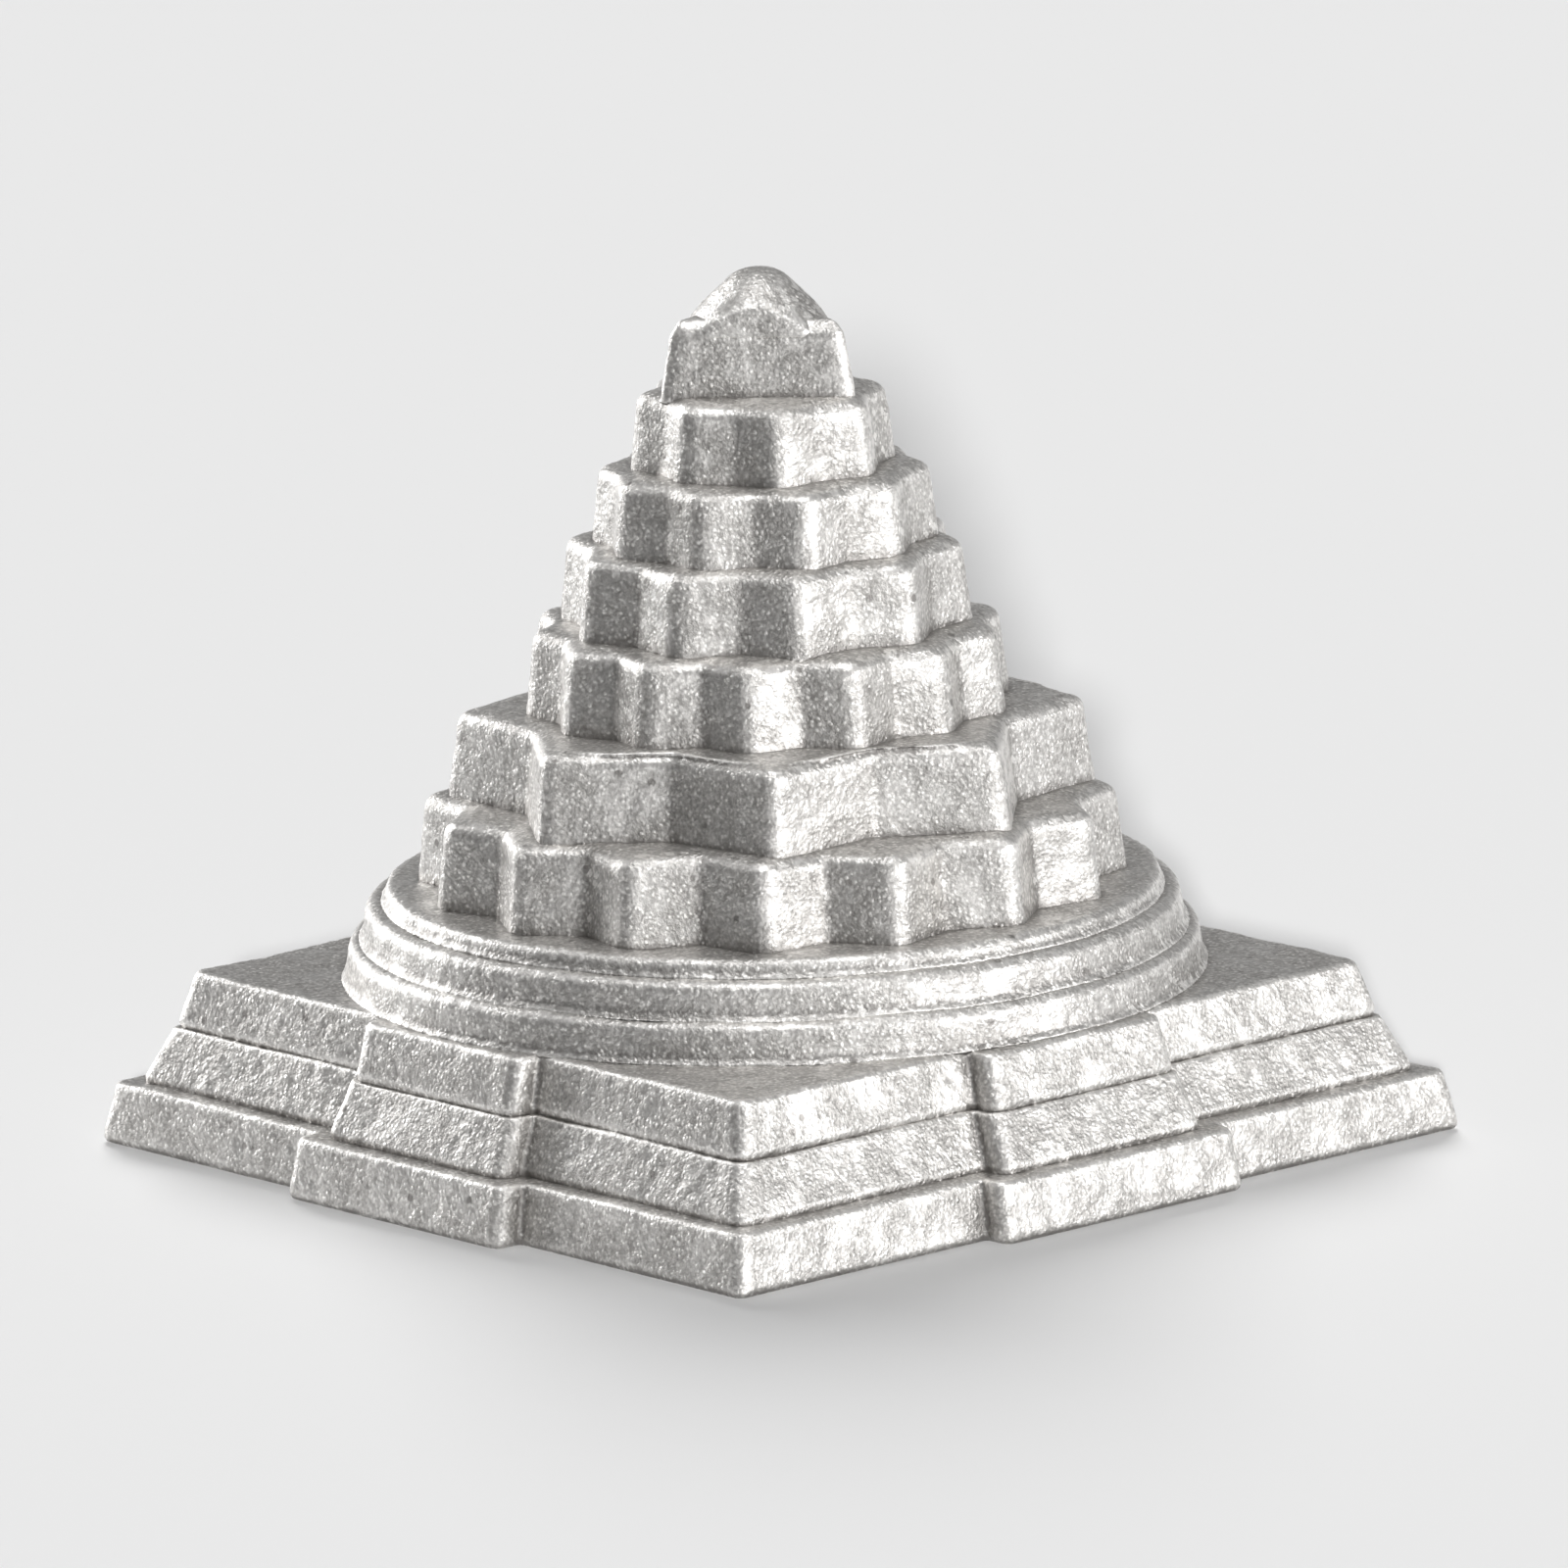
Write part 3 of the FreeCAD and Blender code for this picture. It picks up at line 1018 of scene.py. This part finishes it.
class YANTRA_OT_studio(Operator):
    """Set up the floor, the dark boards, the lamps, the room and the camera"""
    bl_idname = "yantra.studio"
    bl_label = "Studio"

    def execute(self, context):
        scene = context.scene
        studio = scene.yantra_studio
        colours = scene.yantra_colours
        deselect_everything()

        bpy.ops.mesh.primitive_plane_add(size=FLOOR_SIZE, location=ORIGIN)
        floor = context.object
        floor.name = "paper_floor"
        floor.data.materials.append(matt_material("pale_paper", colours.floor))

        dark = matt_material("dark_board", colours.flag)
        for name, azimuth, level, wide, tall in BOARDS:
            side = studio.camera_azimuth + math.radians(azimuth)
            spot = direction(side, 0) * BOARD_DISTANCE + UP * level
            bpy.ops.mesh.primitive_plane_add(size=1, location=spot)
            context.object.scale = (wide, tall, 1)
            face_towards(context.object, UP * level)
            darken(context.object, name, dark)
        side = studio.camera_azimuth + math.radians(PAPER_BOARD_AZIMUTH)
        spot = direction(side, 0) * PAPER_BOARD_DISTANCE + UP * PAPER_BOARD_LIFT
        bpy.ops.mesh.primitive_plane_add(size=1, location=spot, rotation=(0, 0, side))
        context.object.scale = (*PAPER_BOARD_SIZE, 1)
        darken(context.object, "board_on_the_paper", dark)

        for row in SOFTBOXES:
            softbox(*row)
        for row in FAR_LIGHTS:
            far_light(*row)

        # The metal sees the whole room, and the paper gets a little light from it.
        world = bpy.data.worlds.new("studio_world")
        world.use_nodes = True
        tree = world.node_tree
        tree.nodes.clear()
        rays = add_node(tree, "ShaderNodeLightPath")
        seen = add_node(
            tree, "ShaderNodeMath",
            [(0, rays.outputs["Is Camera Ray"]), (1, rays.outputs["Is Glossy Ray"])],
            operation="MAXIMUM",
        )
        seen = add_node(
            tree, "ShaderNodeMath",
            [(0, seen.outputs[0]), (1, rays.outputs["Is Transmission Ray"])],
            operation="MAXIMUM",
        )
        way = add_node(tree, "ShaderNodeTexCoord").outputs["Generated"]
        rise = add_node(tree, "ShaderNodeSeparateXYZ", [(0, way)]).outputs["Z"]
        room = add_node(tree, "ShaderNodeValToRGB", [("Fac", rise)])
        ramp = room.color_ramp
        ramp.elements[0].color = linear(colours.floor)
        ramp.elements[1].color = linear(colours.ceiling)
        ramp.elements.new(WALL_LEVEL).color = linear(colours.wall)
        shown = add_node(
            tree, "ShaderNodeBackground", [("Color", room.outputs["Color"])], Strength=1.0
        )
        felt = add_node(
            tree, "ShaderNodeBackground", Color=linear("#ffffff"), Strength=ROOM_LIGHT
        )
        mixed = add_node(
            tree, "ShaderNodeMixShader",
            [(0, seen.outputs[0]), (1, felt.outputs[0]), (2, shown.outputs[0])],
        )
        add_node(tree, "ShaderNodeOutputWorld", [("Surface", mixed.outputs[0])])
        scene.world = world

        bpy.ops.object.camera_add()
        camera = context.object
        camera.name = "studio_camera"
        camera.data.lens = studio.focal_length
        camera.data.clip_start = 0.01
        camera.data.clip_end = 20.0
        back = direction(studio.camera_azimuth, studio.camera_elevation)
        right = UP.cross(back).normalized()
        up = back.cross(right)
        middle = Vector((0, 0, studio.middle_height))
        camera.location = middle + back * studio.camera_distance
        aim = middle + right * studio.aim_right + up * studio.aim_up
        face_towards(camera, aim, studio.camera_roll)
        scene.camera = camera
        scene.view_settings.view_transform = "Standard"
        return {"FINISHED"}


class YANTRA_PT_panel(Panel):
    bl_idname = "YANTRA_PT_panel"
    bl_label = "Meru Shri Yantra"
    bl_space_type = "VIEW_3D"
    bl_region_type = "UI"
    bl_category = "Yantra"

    def draw(self, context):
        layout = self.layout
        scene = context.scene
        for group in (scene.yantra_sizes, scene.yantra_colours, scene.yantra_studio):
            box = layout.box()
            for name in group.__annotations__:
                box.prop(group, name)
        for node in SQUARE_STEPS:
            layout.operator("yantra.square_step", text=node).node = node
        for node in ROUND_STEPS:
            layout.operator("yantra.round_step", text=node).node = node
        for node, tips in STAR_TIPS.items():
            star = layout.operator("yantra.star_tier", text=node)
            star.node = node
            star.tips = tips
        layout.operator("yantra.triangle")
        layout.operator("yantra.dome")
        layout.operator("yantra.studio")


CLASSES = (
    YantraSizes,
    YantraColours,
    YantraStudio,
    YANTRA_OT_square_step,
    YANTRA_OT_round_step,
    YANTRA_OT_star_tier,
    YANTRA_OT_triangle,
    YANTRA_OT_dome,
    YANTRA_OT_studio,
    YANTRA_PT_panel,
)


def register():
    for one_class in CLASSES:
        bpy.utils.register_class(one_class)
    bpy.types.Scene.yantra_sizes = PointerProperty(type=YantraSizes)
    bpy.types.Scene.yantra_colours = PointerProperty(type=YantraColours)
    bpy.types.Scene.yantra_studio = PointerProperty(type=YantraStudio)


def unregister():
    del bpy.types.Scene.yantra_studio
    del bpy.types.Scene.yantra_colours
    del bpy.types.Scene.yantra_sizes
    for one_class in reversed(CLASSES):
        bpy.utils.unregister_class(one_class)


def main():
    register()
    for node in SQUARE_STEPS:
        bpy.ops.yantra.square_step(node=node)
    for node in ROUND_STEPS:
        bpy.ops.yantra.round_step(node=node)
    for node, tips in STAR_TIPS.items():
        bpy.ops.yantra.star_tier(node=node, tips=tips)
    bpy.ops.yantra.triangle()
    bpy.ops.yantra.dome()
    bpy.ops.yantra.studio()


if __name__ == "__main__":
    main()
